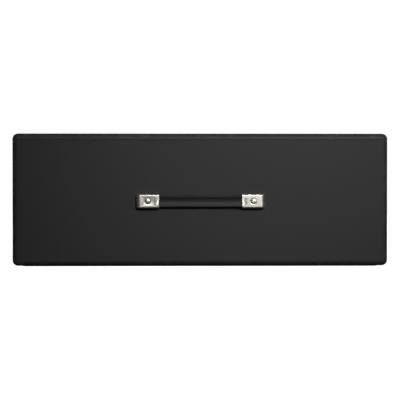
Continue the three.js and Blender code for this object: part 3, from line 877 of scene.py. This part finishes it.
select_only("FACE", lambda middle: middle.z > cap_height - 0.0002)
bpy.ops.transform.resize(value=(0.6, 0.9, 1))
join_on(cap, ridge)
apply_modifier(cap, "BEVEL", width=0.00016, segments=2, limit_method="ANGLE", angle_limit=math.radians(40))
stand_up = Matrix(((1, 0, 0, 0), (0, 0, -1, cap_high.y), (0, 1, 0, 0), (0, 0, 0, 1)))
cap.data.transform(stand_up)

# Painted shade, broken up by grime, darkens the dimple and the pressed panel, more where they are deeper.
shade_reach = 0.0001
cap_points = mesh_points(cap)
sunk = np.clip((cap_points[:, 1] - cap_low.y - 0.00015) / 0.0003, 0, 1)
from_screw = np.hypot(cap_points[:, 0] - screw_axis.x, cap_points[:, 2] - screw_axis.z)
in_dimple = from_screw < dimple_top - shade_reach
from_panel = np.abs(cap_points[:, 0] - (panel_left + panel_right) / 2)
in_panel = from_panel < (panel_right - panel_left) / 2 + shade_reach
in_panel &= np.abs(cap_points[:, 2] - screw_axis.z) < panel_half + shade_reach
store_amount(cap, "hollow", sunk * (0.7 * in_dimple + 1.0 * in_panel))
finish_shape(cap, 30, flat_faces=True)
cap.data.materials.append(nickel)


def mirror_piece(piece, name):
    """A copy of a piece on the other side of the handle's middle, with its faces turned outwards."""
    other = copy_piece(piece, name, Matrix.Scale(-1, 4, (1, 0, 0)))
    other.data.flip_normals()
    return other


left_cap = mirror_piece(cap, "left_cap")
for piece, side in ((cap, "right"), (left_cap, "left")):
    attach(piece, "case")
    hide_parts(f"handle_cap_{side}")


# ---- Screws of the handle ---------------------------------------------------------------------------------
# Oval-head machine screws with crossed recesses, nickel plated. Each runs through its cap, through the slot
# in the strap and through the wall into a tee nut, and they were tightened to different angles.

screw_length = screw_high.y - screw_low.y
head_radius = 0.0037
head_seat = 0.0021
neck_radius = dimple_bottom - 0.0003
shank_radius = 0.002
shank_chamfer = 0.0003
dome_rise = 0.0016
dome_angles = [math.radians(90 - 9 * i) for i in range(11)]
dome = [(head_radius * math.sin(a), -dome_rise * (1 - math.cos(a))) for a in dome_angles]
cap_screw = turned_piece("right_cap_screw", [
    (0, -screw_length), (shank_radius - shank_chamfer, -screw_length),
    (shank_radius, -screw_length + shank_chamfer), (shank_radius, -head_seat), (neck_radius, -head_seat),
    *dome,
], 64)
cut_cross(cap_screw, 0.0046, 0.0009, -0.0013, 0.001)
apply_modifier(cap_screw, "BEVEL", width=0.00008, segments=2, limit_method="ANGLE",
               angle_limit=math.radians(50))
finish_shape(cap_screw, 35)
cap_screw.data.materials.append(nickel)
stand = Matrix(((1, 0, 0, 0), (0, 0, -1, screw_low.y), (0, 1, 0, 0), (0, 0, 0, 1)))
for side, sign, turned_to in (("left", -1, 0.25), ("right", 1, 0.62)):
    place = Matrix.Translation((sign * screw_axis.x, 0, screw_axis.z))
    turn = Matrix.Rotation(turned_to, 4, "Z")
    made = copy_piece(cap_screw, f"{side}_handle_screw", place @ stand @ turn)
    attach(made, "case")
    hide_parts(f"handle_screw_{side}")
bpy.data.objects.remove(cap_screw)


# ---- Strap of the handle ----------------------------------------------------------------------------------
# A band of spring steel covered in moulded black vinyl, with thick rounded borders and a shallow channel
# between them. Its ends lie in the caps, with slots for the screws.


def vinyl_finish():
    material, place = new_finish("vinyl")
    pores = place.noise(0.00035, 3.0, 0.6)
    drawn = place.scaled((0.05, 1.0, 1.0)).noise(0.0012, 2.0)
    dust = place.noise(0.008, 4.0, 0.7).between(0.5, 0.8)
    colour = (0.3 * dust).mix((0.009, 0.009, 0.0096, 1), (0.02, 0.0195, 0.019, 1))
    roughness = 0.5 + 0.1 * pores + 0.1 * dust
    normal = (0.6 * pores + 0.4 * drawn).bump(0.00004)
    set_shader(material, Base_Color=colour, Roughness=roughness, Normal=normal, Specular_IOR_Level=0.16)
    return material


vinyl = vinyl_finish()
strap_low, strap_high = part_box("strap_end_right")
strap_middle_y = (strap_low.y + strap_high.y) / 2
strap_middle_z = (strap_low.z + strap_high.z) / 2
half_width = (strap_high.z - strap_low.z) / 2
strap_thick = strap_high.y - strap_low.y
top_round = 0.0016
back_round = 0.0008
channel_half = 0.0057
channel_depth = 0.0012
end_round = 0.0008


def rounded_corner(across, up, radius, angles):
    """The points round a corner of a section, from its centre, its radius and its angles in degrees."""
    return [(across + radius * math.cos(a), up + radius * math.sin(a)) for a in map(math.radians, angles)]


back_corner = rounded_corner(half_width - back_round, back_round, back_round, range(-90, 1, 18))
top_corner = rounded_corner(half_width - top_round, strap_thick - top_round, top_round, range(0, 91, 10))
half_section = back_corner + top_corner
channel_steps = [1 - 2 * i / 24 for i in range(25)]
channel = [(channel_half * t, strap_thick - channel_depth * (1 - t * t) ** 1.3) for t in channel_steps]
strap_section = half_section + channel + [(-z, y) for z, y in reversed(half_section)]


def strap_length(name, x0, x1, step=0.001):
    """A length of the strap between two places along it, closed at its ends."""
    ring = [(x0, strap_high.y - up, strap_middle_z + z) for z, up in strap_section]
    piece = new_outline(name, ring, [], [list(range(len(ring)))])
    steps = max(2, round(abs(x1 - x0) / step))
    for i in range(steps):
        here = x0 + (x1 - x0) * i / steps
        if i:
            select_only("FACE", lambda middle: near(middle.x, here))
        bpy.ops.mesh.extrude_region_move(TRANSFORM_OT_translate={"value": ((x1 - x0) / steps, 0, 0)})
    bpy.ops.mesh.select_all(action="SELECT")
    bpy.ops.mesh.normals_make_consistent(inside=False)
    bpy.ops.object.mode_set(mode="OBJECT")
    return piece


mouth_x = cap_low.x
arm_in_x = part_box("strap_grip")[1].x + 0.0007
arm_middle = (mouth_x + arm_in_x) / 2
slot_radius = 0.0023
slot_run = 0.0054
slot_clear = 0.003
bend_reach = 0.009

tip = strap_length("right_strap_end", strap_high.x, arm_middle)
bpy.ops.object.mode_set(mode="EDIT")
select_only("EDGE", lambda middle: near(middle.x, strap_high.x))
bpy.ops.mesh.bevel(offset=end_round, segments=3, affect="EDGES")
bpy.ops.object.mode_set(mode="OBJECT")
slot_ends = (screw_axis.x, screw_axis.x + slot_run)
slot_low = Vector((slot_ends[0], strap_low.y - slot_clear, strap_middle_z - slot_radius))
slot_high = Vector((slot_ends[1], strap_high.y + slot_clear, strap_middle_z + slot_radius))
cut_away(tip, new_block("slot", slot_low, slot_high))
for x in slot_ends:
    slot_middle = Vector((x, strap_middle_y, strap_middle_z))
    cut_away(tip, new_rod("slot_end", slot_radius, 0.02, slot_middle, (0, 1, 0)))
finish_shape(tip, 32)
tip.data.materials.append(vinyl)
inner = strap_length("right_strap_middle", arm_middle, 0.0)
finish_shape(inner, 32)
inner.data.materials.append(vinyl)
left_tip = mirror_piece(tip, "left_strap_end")
left_inner = mirror_piece(inner, "left_strap_middle")
for sign, side, end_piece, middle_piece in ((1, "right", tip, inner), (-1, "left", left_tip, left_inner)):
    end_bend = (mouth_x + 0.001, mouth_x - bend_reach)
    ends = [Vector((sign * x, strap_middle_y, strap_middle_z)) for x in end_bend]
    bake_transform(end_piece)
    grip_bend = (arm_in_x + bend_reach, arm_in_x - bend_reach)
    bends = [Vector((sign * x, strap_middle_y, strap_middle_z)) for x in grip_bend]
    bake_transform(middle_piece)
    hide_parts(f"strap_end_{side}")
    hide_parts(f"strap_arm_{side}")
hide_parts("strap_grip")


# ---- Studio -----------------------------------------------------------------------------------------------
# A pale floor in an even white surround. One soft light stands in front of the box, above the camera and to
# its right, and others stand at the sides, above and behind.


def finish_backdrop(name, **sockets):
    """Names the piece that was just added, paints it and keeps it out of the light that the box gets."""
    piece = bpy.context.object
    piece.name = name
    paint, _ = new_finish(name + "_paint")
    set_shader(paint, Emission_Color=(1, 1, 1, 1), **sockets)
    piece.data.materials.append(paint)
    piece.visible_diffuse = False
    piece.visible_glossy = False
    return piece


bpy.ops.mesh.primitive_circle_add(vertices=96, radius=6, fill_type="NGON", location=(0, 0, 0))
floor = finish_backdrop("floor", Base_Color=(0.3, 0.3, 0.3, 1), Roughness=0.9, Specular_IOR_Level=0.0,
                        Emission_Strength=1.02)
bpy.ops.mesh.primitive_uv_sphere_add(segments=64, ring_count=32, radius=7, location=(0, 0, 0))
surround = finish_backdrop("surround", Base_Color=(0, 0, 0, 1), Emission_Strength=1.05)
surround.visible_shadow = False

world = bpy.data.worlds.new("studio_air")
bpy.context.scene.world = world
world.use_nodes = True
world.node_tree.nodes["Background"].inputs["Color"].default_value = (1, 1, 1, 1)
world.node_tree.nodes["Background"].inputs["Strength"].default_value = 0.05


def soft_light(name, place, aim, size, watts, spread=180):
    """A rectangular soft light at a place, turned to face a point, and shining within so many degrees."""
    lamp = bpy.data.lights.new(name, "AREA")
    lamp.shape = "RECTANGLE"
    lamp.size, lamp.size_y = size
    lamp.energy = watts
    lamp.spread = math.radians(spread)
    holder = bpy.data.objects.new(name, lamp)
    bpy.context.scene.collection.objects.link(holder)
    holder.location = place
    holder.rotation_euler = (Vector(aim) - Vector(place)).to_track_quat("-Z", "Y").to_euler()


soft_light("key_light", (0.48, -1.6, 0.85), (0.075, -0.2, 0.155), (0.5, 0.5), 2.05, 38)
soft_light("left_light", (-2.4, 0.3, 0.9), (0, 0, 0.1), (1.2, 1.2), 2.5)
soft_light("right_light", (2.4, 0.5, 0.9), (0, 0, 0.1), (1.2, 1.2), 6)
soft_light("back_light", (0.3, 2.4, 1.5), (0, 0.1, 0.1), (1.6, 1.2), 16)
soft_light("top_light", (0.0, 0.9, 2.2), (0, 0.1, 0), (1.4, 1.4), 5)

camera_turn = math.radians(-1.5)
camera_rise = math.radians(0.8)
camera_distance = 2.0
camera_lens = 141.0
camera_shift = -0.0013
front_middle = Vector((0, case_low.y, lid_high.z / 2))
way_out = Vector((
    math.sin(camera_turn) * math.cos(camera_rise),
    -math.cos(camera_turn) * math.cos(camera_rise),
    math.sin(camera_rise),
))
camera_data = bpy.data.cameras.new("camera")
camera_data.lens = camera_lens
camera_data.shift_x = camera_shift
camera_data.clip_end = 50
camera = bpy.data.objects.new("camera", camera_data)
bpy.context.scene.collection.objects.link(camera)
camera.location = front_middle + camera_distance * way_out
camera.rotation_euler = (-way_out).to_track_quat("-Z", "Y").to_euler()
bpy.context.scene.camera = camera
bpy.context.scene.view_settings.view_transform = "Standard"
